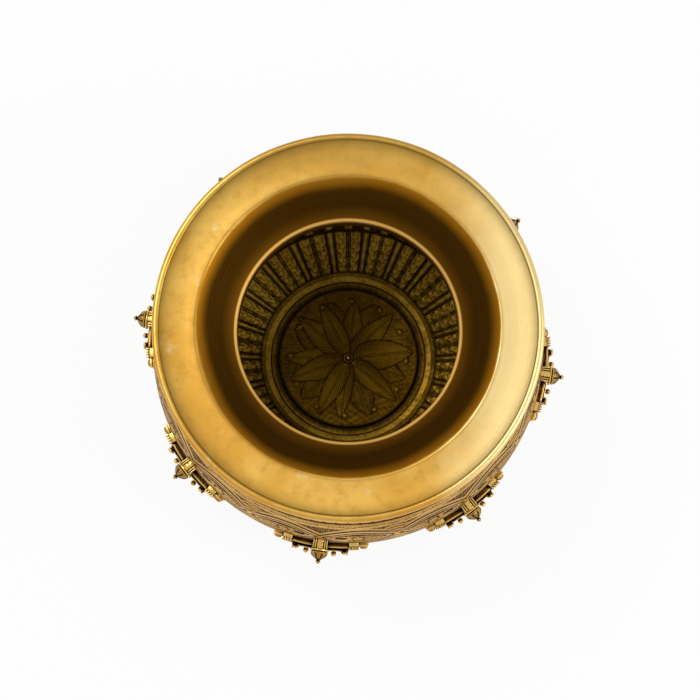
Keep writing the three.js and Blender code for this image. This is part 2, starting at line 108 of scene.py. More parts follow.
# %% A finish
class Finish:
    """A material, the nodes that vary it, and the slot of the record that it stands for."""

    def __init__(self, name, slot, metallic=1):
        self.slot = slot
        self.material = bpy.data.materials.new(name)
        self.material.use_nodes = True
        self.tree = self.material.node_tree
        self.shader = self.tree.nodes["Principled BSDF"]
        self.shader.inputs["Metallic"].default_value = metallic

    def node(self, kind, settings, inputs, output=0):
        """Adds a node; its settings go in first, then the values or links of its sockets."""
        made = self.tree.nodes.new("ShaderNode" + kind)
        for key, value in settings.items():
            setattr(made, key, value)
        for key, value in inputs.items():
            if isinstance(value, Number):
                self.tree.links.new(value.socket, made.inputs[key])
            else:
                made.inputs[key].default_value = value
        return Number(self, made.outputs[output])

    def mix(self, factor, first, second):
        """Blends two colours."""
        return self.node("Mix", {"data_type": "RGBA"}, {0: factor, 6: first, 7: second}, 2)

    def place(self):
        return self.node("TexCoord", {}, {}, "Object")

    def noise(self, scale, detail=3, vector=None, roughness=0.5):
        """Cloudy noise from 0 to 1; scale counts its blots in a metre."""
        inputs = {"Vector": vector or self.place(), "Scale": scale}
        return self.node("TexNoise", {}, {**inputs, "Detail": detail, "Roughness": roughness})

    def attribute(self, name):
        return self.node("Attribute", {"attribute_name": name}, {}, "Fac")

    def feed(self, **values):
        """Links the shader's sockets: colour, roughness, and a height in metres that becomes a bump."""
        for key, value in values.items():
            if key == "height":
                value = self.node("Bump", {}, {"Strength": 1, "Distance": 1, "Height": value})
                key = "Normal"
            socket = self.shader.inputs[key.replace("_", " ")]
            self.tree.links.new(value.socket, socket)


def colour(red, green, blue):
    """A colour as a picture program shows it, 0 to 255, turned into light."""
    return (*[((v / 255 + 0.055) / 1.055) ** 2.4 for v in (red, green, blue)], 1)


print("finish helpers ready")

# %% [markdown]
# ## Burnished brass
# The brim and throat were rubbed with a steel tool on the lathe, so they carry fine rings about the
# pot's axis, cloudy warm and greenish tints, and a few pale water stains. A painted highlight makes the
# brim paler on the right, and painted shade makes it duller at the back. Down in the throat, where no
# cloth reaches, painted shade and a painted orange reflection lie over a thicker tarnish. Noise
# stretched
# round the axis makes the rings: its vector is the distance from the axis, the height, and a little of
# the angle.

# %% Burnished finish
RINGS_IN_A_METRE = 1500
burnished = Finish("rubbed_brass_with_painted_light", "burnished_brass")
across, along, height = [burnished.node("SeparateXYZ", {}, {0: burnished.place()}, k) for k in "XYZ"]
distance = burnished.node("Math", {"operation": "SQRT"}, {0: across * across + along * along})
turn = burnished.node("Math", {"operation": "ARCTAN2"}, {0: along, 1: across})
lathe_place = {0: distance * RINGS_IN_A_METRE, 1: height * RINGS_IN_A_METRE, 2: turn * 1.2}
rings = burnished.noise(1, detail=2, vector=burnished.node("CombineXYZ", {}, lathe_place))
clouds = burnished.noise(30, detail=5)
mottle = burnished.noise(160, detail=4, roughness=0.65)
tint = burnished.mix(clouds.between(0.35, 0.65), colour(218, 162, 66), colour(230, 182, 88))
tint = burnished.mix(mottle.between(0.45, 0.75) * 0.6, tint, colour(190, 142, 56))
stains = burnished.noise(62, detail=6, roughness=0.7).between(0.62, 0.72)
tint = burnished.mix(stains * 0.6, tint, colour(226, 204, 156))
# Painted highlight: the brim turns paler towards the right, where the right lamp's reflection falls.
painted_highlight_right = (across + 0.06 * (burnished.noise(14, detail=4) - 0.5)).between(0.04, 0.08)
tint = burnished.mix(painted_highlight_right * 0.75, tint, colour(255, 230, 162))
# Painted shade: the brim turns duller and darker towards the back.
dull = (along + 0.06 * (burnished.noise(17, detail=4) - 0.5)).between(0.03, 0.1)
tint = burnished.mix(dull * 0.5, tint, colour(176, 142, 70))
# On the brim and the edge ring this number holds painted shade: a dark band at the lip's outer edge, a
# dark line at the throat's edge and a dark line in the edge ring's groove.
painted_edge_shade = burnished.attribute("patina_and_shade")
tint = burnished.mix(painted_edge_shade, tint, colour(112, 88, 32))
print("made", burnished.material.name)

# %% Painted shade and reflection in the throat
# Distances from the axis and heights are in metres here.
wander = distance + 0.004 * (burnished.noise(22) - 0.5)
# Painted reflection: an orange band just inside the throat's edge.
throat = 1 - wander.between(0.0766, 0.0784)
# Painted shade over some tarnish, dark down the cone.
throat_shade_and_tarnish = 1 - wander.between(0.0714, 0.0768)
# Painted shade, a lighter brown, near the neck.
painted_neck_shade = 1 - wander.between(0.0590, 0.0660)
# Painted highlight: the neck's ridge line gets a bright brass colour.
ridge = (1 - distance.between(0.0588, 0.0596)) * height.between(0.1250, 0.1262)
tint = burnished.mix(throat, tint, colour(170, 114, 22))
tint = burnished.mix(throat_shade_and_tarnish * (0.8 + 0.2 * rings), tint, colour(60, 37, 6))
tint = burnished.mix(painted_neck_shade, tint, colour(116, 76, 16))
tint = burnished.mix(ridge, tint, colour(226, 178, 92))
burnished.feed(
    Base_Color=tint,
    Roughness=0.27 + 0.08 * clouds + 0.08 * rings + 0.1 * painted_edge_shade + 0.14 * throat + 0.1 * throat_shade_and_tarnish,
    height=0.00002 * rings + 0.00006 * mottle,
)
print("throat tarnish added")

# %% [markdown]
# ## Patinated brass
# The chased body was rubbed bright on its high places only. Its hollows keep a purple-brown skin. Every
# embossed piece below therefore carries a number at each of its points for patina: 0 on a bright
# crest, 1 in a hollow. On the brim and the edge ring the same number carries painted shade lines
# instead. The finish reads it, breaks its edge up with noise, and adds the pits of a hammered ground.
# The frieze's chased lines are too fine for the mesh. Its points carry a second number, strand: the
# distance from the frieze's loops in millimetres, plus 10, so that a piece without it reads as far
# from any loop.

# %% Chased lines
STRAND_START = 10
LINE_SPACING = 3.2


def chased_lines(finish):
    """Where the band of a loop is, and how deep the furrows between its three lines are there."""
    distance = finish.attribute("strand") - STRAND_START
    away = finish.node("Math", {"operation": "ABSOLUTE"}, {0: distance})
    band = 1 - away.between(4.5, 4.9)
    wave = finish.node("Math", {"operation": "COSINE"}, {0: distance * (2 * math.pi / LINE_SPACING)})
    return band, (0.5 - 0.5 * wave).between(0.38, 0.8)


# %% Patinated finish
def aged(name, slot, bright, warm, dark, hollow, pit_scale):
    """Brass with bright crests and dark hollows, from the patina number of its piece."""
    finish = Finish(name, slot)
    clouds = finish.noise(45, detail=4)
    grain = finish.noise(700, detail=4, roughness=0.6)
    patina_and_shade = finish.attribute("patina_and_shade")
    band, furrow = chased_lines(finish)
    patina_and_shade = patina_and_shade + band * (furrow - patina_and_shade)
    blots = finish.noise(240, detail=3)
    skin = (patina_and_shade + 0.5 * (grain - 0.5) + 0.5 * (blots - 0.5)).between(0.2, 0.85)
    metal = finish.mix(clouds.between(0.35, 0.65), bright, warm)
    metal = finish.mix(skin, metal, dark)
    pits = finish.node("TexVoronoi", {}, {"Vector": finish.place(), "Scale": pit_scale}, "Distance")
    sunk = patina_and_shade.between(0.6, 0.95) * (1 - 0.6 * pits.between(0.3, 0.6))
    metal = finish.mix(sunk, metal, hollow)
    wear = skin * pits.between(0.0, 0.5)
    finish.feed(
        Base_Color=metal,
        Roughness=0.4 + 0.28 * skin,
        height=0.00012 * wear + 0.00008 * grain - 0.00025 * band * furrow,
    )
    return finish


patinated = aged(
    "chased_brass", "patinated_brass", colour(224, 178, 96), colour(204, 156, 78),
    colour(92, 60, 38), colour(46, 28, 26), 1100,
)
# Painted shade over an olive tarnish: the pot's inside and its floor medallion get darker copies of the
# brass than its outside, for the little light that falls inside.
inside_shade_and_tarnish = aged(
    "inside_brass_shaded", "patinated_brass", colour(140, 108, 32), colour(122, 90, 24),
    colour(84, 59, 13), colour(44, 30, 6), 1300,
)
floor_shade_and_tarnish = aged(
    "olive_brass_shaded", "patinated_brass", colour(122, 90, 18), colour(102, 73, 12),
    colour(80, 54, 8), colour(50, 32, 5), 1300,
)
for made in (patinated, inside_shade_and_tarnish, floor_shade_and_tarnish):
    print("made", made.material.name)

# %% [markdown]
# ## Lines of an outline
# A turned piece is one closed outline of radii and heights, in millimetres here. Lines come from curves
# with a few control points, and a wall's other face is the same line moved sideways. The bare numbers in
# the formulas of the ornament are millimetres too, as a chaser would mark them out with dividers.

# %% Outline helpers
def curve(controls, count):
    """Points along a smooth curve that starts and ends at the first and last control point."""
    share = np.linspace(0, 1, count)[:, None]
    points = [np.array(control, float) * np.ones((count, 1)) for control in controls]
    while len(points) > 1:
        points = [a * (1 - share) + b * share for a, b in zip(points, points[1:])]
    return points[0]


def arc(centre, radius, start, end, count):
    angles = np.radians(np.linspace(start, end, count))
    return np.array(centre) + radius * np.stack([np.cos(angles), np.sin(angles)], 1)


def lengths(line):
    """Distance walked along a line, at each of its points."""
    steps = np.linalg.norm(np.diff(line, axis=0), axis=1)
    return np.concatenate([[0], np.cumsum(steps)])


def walked(line, distances):
    """The points of a line at given distances along it."""
    along = lengths(line)
    return np.stack([np.interp(distances, along, line[:, k]) for k in (0, 1)], 1)


def moved(line, distance):
    """A line moved to the left of its own direction."""
    along = np.gradient(line, axis=0)
    along /= np.linalg.norm(along, axis=1)[:, None]
    return line + distance * np.stack([-along[:, 1], along[:, 0]], 1)


def smooth(low, high, value):
    share = np.clip((value - low) / (high - low), 0, 1)
    return share * share * (3 - 2 * share)


def crest(distance, width):
    """A soft ridge: 1 where the distance is nothing, fading over the width."""
    return np.exp(-((distance / width) ** 2))


def dome(distance, radius):
    """A round swelling: 1 in its middle, 0 from the radius on."""
    return np.sqrt(np.clip(1 - (distance / radius) ** 2, 0, 1))


print("outline helpers ready")

# %% [markdown]
# ## Turning a piece
# In the workshop the shells are raised from sheet and trued on a lathe. Here a ring of points is laid
# out as the outline and spun about the axis. Each point of the outline carries three notes that the
# spin copies: which face it is on, how far along that face it is, and which way the face looks. They
# say later where the ornament goes.

# %% Turned pieces
def deselect():
    if bpy.context.object and bpy.context.object.mode != "OBJECT":
        bpy.ops.object.mode_set(mode="OBJECT")
    bpy.ops.object.select_all(action="DESELECT")


def note(mesh, name, values, kind="FLOAT"):
    """Stores a number, or a direction, at each point of a mesh."""
    layer = mesh.attributes.new(name, kind, "POINT")
    layer.data.foreach_set("vector" if kind == "FLOAT_VECTOR" else "value", np.ravel(values))


def notes(mesh, name, width=1):
    values = np.empty(len(mesh.vertices) * width, np.float32)
    layer = mesh.attributes[name]
    layer.data.foreach_get("vector" if width == 3 else "value", values)
    return values.reshape(-1, width) if width > 1 else values


def places_of(piece):
    """The points of a piece in metres, a row for each."""
    places = np.empty(len(piece.data.vertices) * 3, np.float32)
    piece.data.vertices.foreach_get("co", places)
    return places.reshape(-1, 3).astype(float)


def set_places(piece, places):
    piece.data.vertices.foreach_set("co", np.ravel(places).astype(np.float32))
    piece.data.update()


def turned(name, faces, steps, sharp=35):
    """Spins a closed outline, given as lines in order, about the pot's axis."""
    outline = np.concatenate(faces)
    face = np.concatenate([np.full(len(line), i) for i, line in enumerate(faces)])
    along = np.concatenate([lengths(line) for line in faces])
    step = np.roll(outline, -1, 0) - np.roll(outline, 1, 0)
    step /= np.linalg.norm(step, axis=1)[:, None] + 1e-9
    x, y = outline.T
    turn = np.sign(np.sum(x * np.roll(y, -1) - np.roll(x, -1) * y))
    looks = turn * np.stack([step[:, 1], np.zeros(len(step)), -step[:, 0]], 1)
    deselect()
    bpy.ops.mesh.primitive_circle_add(vertices=len(outline), radius=1)
    piece = bpy.context.object
    piece.name = piece.data.name = name
    set_places(piece, np.stack([x, np.zeros(len(x)), y], 1) * MM)
    note(piece.data, "face", face)
    note(piece.data, "along", along)
    note(piece.data, "looks", looks, "FLOAT_VECTOR")
    bpy.ops.object.mode_set(mode="EDIT")
    bpy.ops.mesh.select_all(action="SELECT")
    bpy.ops.mesh.spin(steps=steps, angle=2 * math.pi, center=(0, 0, 0), axis=(0, 0, 1))
    bpy.ops.mesh.select_all(action="SELECT")
    bpy.ops.mesh.remove_doubles(threshold=0.000002)
    bpy.ops.mesh.normals_make_consistent(inside=False)
    bpy.ops.object.mode_set(mode="OBJECT")
    bpy.ops.object.shade_smooth_by_angle(angle=math.radians(sharp))
    return piece


def emboss(piece, ornaments):
    """Raises the ornament of each face, given as {face: function of angle and distance along}."""
    mesh = piece.data
    places = places_of(piece)
    face = notes(mesh, "face").round()
    along = notes(mesh, "along").astype(float)
    looks = notes(mesh, "looks", 3).astype(float)
    angle = np.arctan2(places[:, 1], places[:, 0])
    patina_and_shade = np.zeros(len(places))
    for code, ornament in ornaments.items():
        here = face == code
        rise, skin = ornament(angle[here], along[here])
        out = looks[here]
        places[here, 0] += rise * MM * out[:, 0] * np.cos(angle[here])
        places[here, 1] += rise * MM * out[:, 0] * np.sin(angle[here])
        places[here, 2] += rise * MM * out[:, 2]
        patina_and_shade[here] = np.clip(skin, 0, 1)
    note(mesh, "patina_and_shade", patina_and_shade)
    for name in ("face", "along", "looks"):
        mesh.attributes.remove(mesh.attributes[name])
    set_places(piece, places)


def evenly(skin):
    """A face without ornament, with the same patina all over."""
    return lambda angle, along: (0 * along, 0 * along + skin)


def hand_over(piece, finish, *nodes):
    """Gives a piece its finish, its body and the solid pieces that it stands for."""
    piece.data.materials.clear()
    piece.data.materials.append(finish.material)
    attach(piece, "root")
    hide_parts(*nodes)
    print("made", piece.name, "with", len(piece.data.polygons), "faces")


print("turning helpers ready")

# %% [markdown]
# ## Neck funnel
# Lip, throat and neck are one raised sheet. The lip is almost flat, rolls over at the throat, falls as
# a cone and turns down at a small bright ridge into the spigot. Only the upper face is drawn; the lower
# one is the same line moved by the sheet's thickness.

# %% Neck funnel
SHEET = 1.8
lip = curve([(96.27, 149.3), (87.4, 147.9), (78.8, 147.9)], 14)
throat_roll = arc((78.8, 145.5), 2.4, 90, 132, 7)
neck_roll = arc((59.8, 127), 2.2, 128, 180, 7)
first, last = throat_roll[-1], neck_roll[0]
cone_controls = [first, first - [5.2, 4.68], last + [5.52, 4.31], last]
cone = curve(cone_controls, 22)
spigot = curve([(57.6, 127), (57.6, 118)], 8)
funnel_top = np.concatenate([lip[:-1], throat_roll[:-1], cone[:-1], neck_roll[:-1], spigot])
funnel_under = moved(funnel_top, SHEET)[::-1]
throat_edge = lengths(lip)[-1]
neck_ridge = lengths(funnel_top)[-len(spigot) - 4]


def funnel_marks(angle, along):
    """Tiny waves left by raising the sheet, the neck's ridge, and painted shade lines at the lip's two
    edges.
    """
    rise = 0.05 * np.sin(3 * angle + 0.16 * along) * np.sin(2 * angle + 1)
    rise += 0.3 * crest(along - neck_ridge, 0.7) - 0.06 * crest(along - throat_edge, 0.5)
    edge = 0.5 * crest(along, 4.2) + 0.2 * crest(along, 1.2)
    return rise, edge + 0.5 * crest(along - throat_edge - 0.3, 0.35)


funnel = turned("neck_funnel_sheet", [funnel_top, funnel_under], 240, sharp=50)
emboss(funnel, {0: funnel_marks})
hand_over(funnel, burnished, "neck_funnel")

# %% [markdown]
# ## Edge ring and neck ring
# A half-round ring stiffens the brim's edge, and a plain wire ring hides the joint of neck and belly.

# %% Edge ring
edge_outline = np.concatenate([
    curve([(93.6, 146.9), (93.6, 146.0)], 2),
    curve([(94.6, 144.6), (96.3, 143.9)], 3),
    arc((98.15, 145.8), 1.85, -75, 0, 6),
    arc((98.15, 148.05), 1.85, 0, 90, 8),
    curve([(97.9, 149.9), (97.0, 149.9), (96.35, 149.2)], 6),
    curve([(96.3, 148.9), (96.3, 146.9)], 3),
])
edge_top = lengths(edge_outline)[-4]


def edge_marks(angle, along):
    """Slight hammer waves, and a painted shade line in the groove."""
    waves = 0.04 * np.sin(5 * angle) * np.sin(7 * angle + 2) - 0.06
    return waves, 0.7 * smooth(edge_top - 1.6, edge_top, along)


edge_ring = turned("edge_ring", [edge_outline], 240)
emboss(edge_ring, {0: edge_marks})
hand_over(edge_ring, burnished, "rim_edge_ring")

# %% Neck ring
neck_wire = turned("neck_wire", [arc((61.4, 125), 1.7, 0, 345, 20)], 160)
emboss(neck_wire, {0: lambda angle, along: (0.12 * np.cos(96 * angle + 1.2 * along), 0 * along + 0.35)})
hand_over(neck_wire, patinated, "neck_ring")

# %% [markdown]
# ## Bowl of lotus petals
# The lower shell is hammered from both sides. Inside, 22 petals stand round the floor. Each has a plain
# rib, a scrolled column on either side of it and an arch over the top, and beaded lines part it from
# the next. The pattern is a formula of the angle and of the distance walked up the wall, so that the
# hand's small unevenness can go in too, and the points of the wall are raised by it. Operators alone
# would need some thousands of separate strokes for this.

# %% Petals inside
BELLY = 107.6
BELLY_HEIGHT = 55
BOWL_EDGE = BELLY - 3.93
PETALS = 22
RIB_ANGLE = math.radians(98.3)
bowl_inner = curve([(48, 14.3), (85.42, 33.37), (BOWL_EDGE, 36), (BOWL_EDGE, BELLY_HEIGHT)], 400)
bowl_length = lengths(bowl_inner)[-1]


def petal_place(angle):
    """Where an angle falls across its petal: 0 on the rib, half way to the next at 0.5."""
    turns = (angle - RIB_ANGLE) * PETALS / (2 * math.pi)
    turns += 0.07 * np.sin(2 * angle + 0.6) + 0.05 * np.sin(5 * angle)
    return turns - np.round(turns)


def curls(side, along, pitch, radius):
    """A chain of small scrolls that swing from side to side."""
    count = along / pitch
    step = (count - np.floor(count) - 0.5) * pitch
    swing = np.where(np.floor(count) % 2 == 0, 0.45, -0.45)
    distance = np.hypot(side - swing, step)
    return 0.5 * crest(distance - radius, 0.36) + 0.45 * crest(distance, 0.42)


def petals_inside(angle, along):
    place = petal_place(angle)
    scale = (48 + 0.86 * np.minimum(along, 50)) / 60
    across = np.abs(place) * 17.1
    side = (across - 4.9) * scale
    columns = smooth(2.2, 3.2, along) * (1 - smooth(26.0, 27.4, along))
    rise = 0.62 * dome(across, 1.55)
    on_column = smooth(2.3, 2.6, across) * (1 - smooth(7.2, 7.5, across))
    rise += (0.3 + curls(side, along, 2.75, 1.0)) * on_column
    rise += 0.2 * crest(across - 2.65, 0.3) + 0.2 * crest(across - 7.15, 0.3)
    rise += (0.32 + 0.2 * np.cos(2 * math.pi * along / 1.25)) * crest(across - 8.1, 0.32)
    rise -= 0.35 * crest(across - 1.95, 0.4)
    rise = rise * columns + 0.35 * (1 - smooth(1.8, 2.4, along))
    up = along - 28.2
    arch = np.hypot(across, 0.8 * up)
    over = smooth(-0.6, 0.4, up) * (1 - smooth(13, 14.5, up))
    arches = 0.75 * crest(arch - 7.7, 0.75) + 0.6 * crest(arch - 4.6, 0.6) * (across < 4)
    arches += 0.5 * dome(np.hypot(across, up - 1.4), 1.7)
    arches += 0.5 * dome(np.hypot(across - 8.55, up - 9), 1.6)
    rise += over * arches + 0.3 * crest(along - 43.6, 0.9)
    tip = 0.46 * np.sqrt(np.clip(1 - ((along - 45) / 26) ** 2, 0, 1))
    rise += smooth(44.5, 46, along) * (0.5 * dome(place, np.maximum(tip, 0.02)) - 0.1)
    rise += 0.05 * np.sin(11 * angle + along) * columns
    return 0.9 * rise - 0.15, 1 - smooth(0.02, 0.5, rise) * (0.7 + 0.3 * smooth(1.8, 2.6, along))


print("petal:", round(2 * math.pi * 60 / PETALS, 1), "mm wide at mid height")

# %% Petals outside
def petals_outside(angle, along):
    """Upright lotus petals on the outer face; the distance here is walked down from the rim."""
    height = bowl_length - along
    place = petal_place(angle)
    across = np.abs(place) * 2 * math.pi * (48 + 0.8 * height) / PETALS
    half = 0.475 * np.clip(1 - (np.clip(height, 0, 60) / 60) ** 2.6, 0, 1) ** 0.6
    inside = smooth(0, 0.03, half - np.abs(place))
    body = 0.2 + 0.75 * dome(place, np.maximum(half, 0.01)) + 0.25 * crest(across, 0.7)
    veins = 0.07 * np.cos(2 * math.pi * (0.32 * height - 0.4 * across))
    line = 0.25 * crest(np.abs(place) - 0.78 * half, 0.03)
    between = 0.35 * dome(0.5 - np.abs(place), 0.2) * (1 - smooth(60, 64, height))
    rise = np.where(inside > 0, inside * (body + veins + line), between)
    rise *= smooth(12, 14, height) * (1 - smooth(62, 64, height))
    return 0.8 * rise - 0.2, 0.95 - smooth(0.05, 0.75, rise)


# %% Bowl
inner_steps = np.concatenate([
    np.arange(0, 31, 0.5), np.arange(31, 45, 0.9), np.linspace(45, bowl_length, 12),
])
bowl_wall = walked(bowl_inner, inner_steps)
outer_line = moved(bowl_inner, -SHEET)
bowl_outer = walked(outer_line[::-1], np.linspace(0, lengths(outer_line)[-1], 30))
floor_line = np.array([
    (1.9, 12.6), (20, 12.6), (40, 12.6), (44.0, 12.6),
    (44.4, 12.9), (44.6, 13.8), (45.2, 14.2), (47.4, 14.25),
])
bowl_rim = np.array([(0.1, 57.3), (0.5, 57.5), (1.4, 57.5), (SHEET, 57.2)]) + (BOWL_EDGE, 0)
under_floor = np.array([(46.2, 10.8), (30, 10.8), (12, 10.8), (1.9, 10.8)])


def floor_skin(angle, along):
    """The recess round the medallion is dark, the ledge dull."""
    dull = 0.68 + 0.12 * np.sin(31 * angle) * np.sin(47 * angle + 2 * along)
    return 0 * along, 0.97 * smooth(36.5, 38, along) * (1 - dull * smooth(41.0, 42.0, along))


def give_outside(piece, finish):
    """Gives the faces that look outward or down a second finish, and returns their number."""
    piece.data.materials.append(finish.material)
    count = 0
    for polygon in piece.data.polygons:
        outward = polygon.normal.xy.dot(polygon.center.xy) / (polygon.center.xy.length + 1e-9)
        if outward > polygon.normal.z:
            polygon.material_index = 1
            count += 1
    return count


bowl = turned("petal_bowl", [floor_line, bowl_wall, bowl_rim, bowl_outer, under_floor], 720)
emboss(bowl, {0: floor_skin, 1: petals_inside, 3: petals_outside, 4: evenly(0.6)})
hand_over(bowl, inside_shade_and_tarnish, "bowl_shell")
print("outer faces:", give_outside(bowl, patinated))

# %% [markdown]
# ## Medallion
# The floor carries a chased flower. Ten long feathered leaves spring from the middle, each laid over the
# last, with six broad ones behind them and twelve small bosses near the edge. A leaf is a direction in
# degrees, a length and a half width.

# %% Medallion leaves
LEAVES = [
    (150, 36, 9.4), (62, 36, 9.6), (-20, 35, 8.8), (-70, 36, 9.0), (-140, 36, 9.4), (108, 35, 8.8),
    (180, 36, 5.8), (140, 37, 7.0), (83, 34, 6.2), (45, 37, 6.4), (6, 38, 8.8),
    (-42, 37, 6.2), (-98, 36, 5.2), (200, 36, 6.6), (-118, 37, 5.6), (116, 36, 5.8),
]
FIRST_IN_FRONT = 6
KNOBS = 12
KNOB_RING = 33.7
FIRST_KNOB = math.radians(27)


def leaf(radius, angle, direction, length, width):
    """A feathered leaf: where it lies, and its height there."""
    turn = angle - math.radians(direction)
    forward = radius * np.cos(turn)
    side = np.abs(radius * np.sin(turn))
    share = np.clip(forward / length, 0, 1)
    half = width * np.sin(math.pi * share ** 0.8) ** 0.75 + 0.35
    covered = (forward > 2.5) & (forward < length) & (side < half)
    veins = 0.32 * np.cos(2 * math.pi * (forward - 1.1 * side) / 1.7)
    midrib = 0.28 * crest(side, 0.45) - 0.15 * crest(side - 0.9, 0.3)
    rise = 0.22 + 0.28 * dome(side, half) + veins + midrib
    rise -= 0.6 * crest(half - side, 0.4)
    return covered, rise


def flower(angle, along):
    radius = along + 1.9
    x, y = radius * np.cos(angle), radius * np.sin(angle)
    rise = 0.36 + 0.1 * np.sin(1.1 * x) * np.sin(2.7 * y + radius)
    for number, (direction, length, width) in enumerate(LEAVES):
        covered, lift = leaf(radius, angle, direction, length, width)
        low = 0.1 if number >= FIRST_IN_FRONT else -0.1
        rise = np.where(covered, lift + low, rise)
    turns = (angle - FIRST_KNOB) * KNOBS / (2 * math.pi)
    aside = (turns - np.round(turns)) * 2 * math.pi / KNOBS * KNOB_RING
    knob = np.hypot(aside, radius - KNOB_RING)
    rise = np.where(knob < 1.8, 0.3 + 0.5 * dome(knob, 1.5), rise)
    rise -= 0.15 * crest(knob - 1.8, 0.3)
    rise = rise * smooth(2.8, 4.6, radius) * (1 - smooth(38.3, 38.8, radius))
    skin = 0.85 - 0.65 * smooth(-0.1, 0.8, rise)
    return 0.8 * rise - 0.1, np.where(radius < 3.4, 0.9, skin)


# %% Medallion
disc_top = walked(np.array([(1.9, 14.4), (38.6, 14.4)]), np.arange(0, 36.8, 0.46))
disc_edge = np.array([
    (38.9, 14.75), (39.3, 14.9), (39.8, 14.85), (40.1, 14.5), (40.1, 13.0), (39.9, 12.9),
])
disc_under = np.array([(20, 12.9), (1.9, 12.9)])
medallion = turned("flower_medallion", [disc_top, disc_edge, disc_under], 480)
emboss(medallion, {0: flower, 1: lambda angle, along: (0 * along, 0.65 + smooth(0.4, 1.2, along))})
hand_over(medallion, floor_shade_and_tarnish, "floor_medallion")

# %% [markdown]
# ## Upper shell and its frieze
# From each shrine's bracket an almond loop runs to either side, drawn in three raised lines, and meets
# its neighbour half way to the next shrine under a small fan of leaves. A long leaf with a bud fills
# each loop, curls are punched into the dark ground, and a plain collar band closes the frieze.

# %% Frieze lines
SHRINES = 8
FIRST_SHRINE = math.radians(-8)
UNIT = 2 * math.pi * BELLY / SHRINES
CROSSING = UNIT / 2
FRIEZE_MIDDLE = 20
FRIEZE_TOP = 35
CURL_GAP, ROW_GAP = 2.8, 2.5
TICKS = 320
TONGUES = 96
frieze_x = np.linspace(0, CROSSING, 300)
loop_height = 11.3 * np.sin(math.pi * frieze_x / CROSSING).clip(0) ** 0.72


def frieze_place(angle, along):
    """Distance from the nearest shrine's middle, from the frieze's middle, and from the loop."""
    turns = (angle - FIRST_SHRINE) * SHRINES / (2 * math.pi)
    turns += 0.006 * np.sin(3 * angle) + 0.004 * np.sin(7 * angle + 1)
    x = np.abs(turns - np.round(turns)) * UNIT
    y = along - FRIEZE_MIDDLE
    near = np.full(len(x), 2.0 * CROSSING)
    for loop_x, loop_y in zip(frieze_x, loop_height):
        near = np.minimum(near, np.hypot(x - loop_x, np.abs(y) - loop_y))
    return x, y, near * np.sign(np.abs(y) - np.interp(x, frieze_x, loop_height))


def frieze_leaf(x, y):
    """A long leaf: a dark drop near the bracket, a bud in its middle, fine veins toward its tip."""
    half = 5.4 * np.clip(1 - (x / 15) ** 2, 0, 1) ** 0.6
    inside = smooth(0, 0.5, half - np.abs(y))
    veins = 0.26 * np.cos(2 * math.pi * (x - 1.0 * np.abs(y)) / 2.6) * smooth(-10, -3, x)
    bud = np.hypot(x / 1.2, 0.8 * y)
    drop = np.hypot((x + 9.3) / 2.3, 0.6 * y)
    rise = 0.34 + veins + 0.22 * crest(y, 0.45) + 0.2 * crest(half - np.abs(y) - 0.9, 0.5)
    rise += 0.35 * dome(bud, 2.2) - 0.5 * crest(bud - 2.7, 0.45)
    rise -= 0.75 * (1 - smooth(1.0, 1.7, drop)) - 0.25 * crest(drop - 2.3, 0.5)
    return inside * rise


def fan(x, y):
    """Nested arcs that open away from a crossing."""
    reach = np.hypot(x, y)
    inside = smooth(3, 4, reach) * (1 - smooth(13.8, 14.4, reach))
    inside = inside * smooth(-0.6, 0.2, 0.52 * y - np.abs(x))
    return inside * (0.3 + 0.3 * np.cos(2 * math.pi * reach / 3.3) + 0.14 * crest(x, 0.5))


def curls_in_rows(x, y):
    """Small punched rings, each row shifted against the last."""
    row = np.round(y / ROW_GAP)
    shifted = x + CURL_GAP / 2 * (row % 2)
    ring = np.hypot(shifted - CURL_GAP * np.round(shifted / CURL_GAP), y - ROW_GAP * row)
    return 0.55 * crest(ring - 0.9, 0.42)


# %% Frieze
def frieze(angle, along):
    x, y, strand = frieze_place(angle, along)
    away = np.abs(strand)
    lines = 0.3 * (1 - smooth(2.2, 2.7, away)) + 0.3 * (1 - smooth(4.5, 5.0, away))
    fill = frieze_leaf(x - CROSSING / 2, y) * (1 - smooth(-5.4, -4.9, strand))
    corners = fan(x - CROSSING, y) + fan(x - CROSSING, -y)
    ground = curls_in_rows(x, y) * (strand > 0) + 0.05 * np.sin(19 * np.cos(1.9 * x) + 2.3 * y)
    rise = np.maximum(lines * (corners < 0.05), np.maximum(fill, corners))
    rise = np.where(rise < 0.14, ground - 0.1, rise)
    rise = np.maximum(rise, 0.5 * crest(along - 1.0, 0.8))
    field = smooth(-0.5, 0.4, along) * (1 - smooth(34.9, 35.5, along))
    skin = 1 - smooth(0.08, 0.55, rise)
    return (rise - 0.12) * field, skin * field


def collar(angle, along):
    """The collar band, its hatched edge, and a row of small tongues above it."""
    band = smooth(35.6, 36.1, along) * (1 - smooth(40.0, 40.5, along))
    ticks = (angle * TICKS / (2 * math.pi) + 0.35 * along) % 1 - 0.5
    uneven = 0.3 * np.sin(23 * angle) + 0.25 * np.sin(61 * angle + 2)
    hatch = crest(ticks, 0.16) * smooth(38.4, 38.8, along + uneven) * (1 - smooth(40.2, 40.4, along))
    furrow = crest(along - 38.2 + uneven, 0.35)
    rise = 0.8 * band - (0.28 * hatch + 0.15 * furrow) * band
    tongue = (angle * TONGUES / (2 * math.pi)) % 1 - 0.5
    half = 0.44 * np.sqrt(np.clip(1 - ((along - 42) / 10) ** 2, 0, 1))
    zone = smooth(41.6, 42.4, along) * (1 - smooth(52.5, 53.5, along))
    tongues = 0.6 * dome(tongue, np.maximum(half, 0.02)) * zone
    line = smooth(40.4, 40.8, along) * (1 - smooth(41.4, 42.2, along))
    skin = (0.12 + 0.6 * hatch + 0.7 * furrow) * band + 0.9 * line
    return rise + tongues, skin + zone * (0.9 - smooth(0.0, 0.4, tongues))


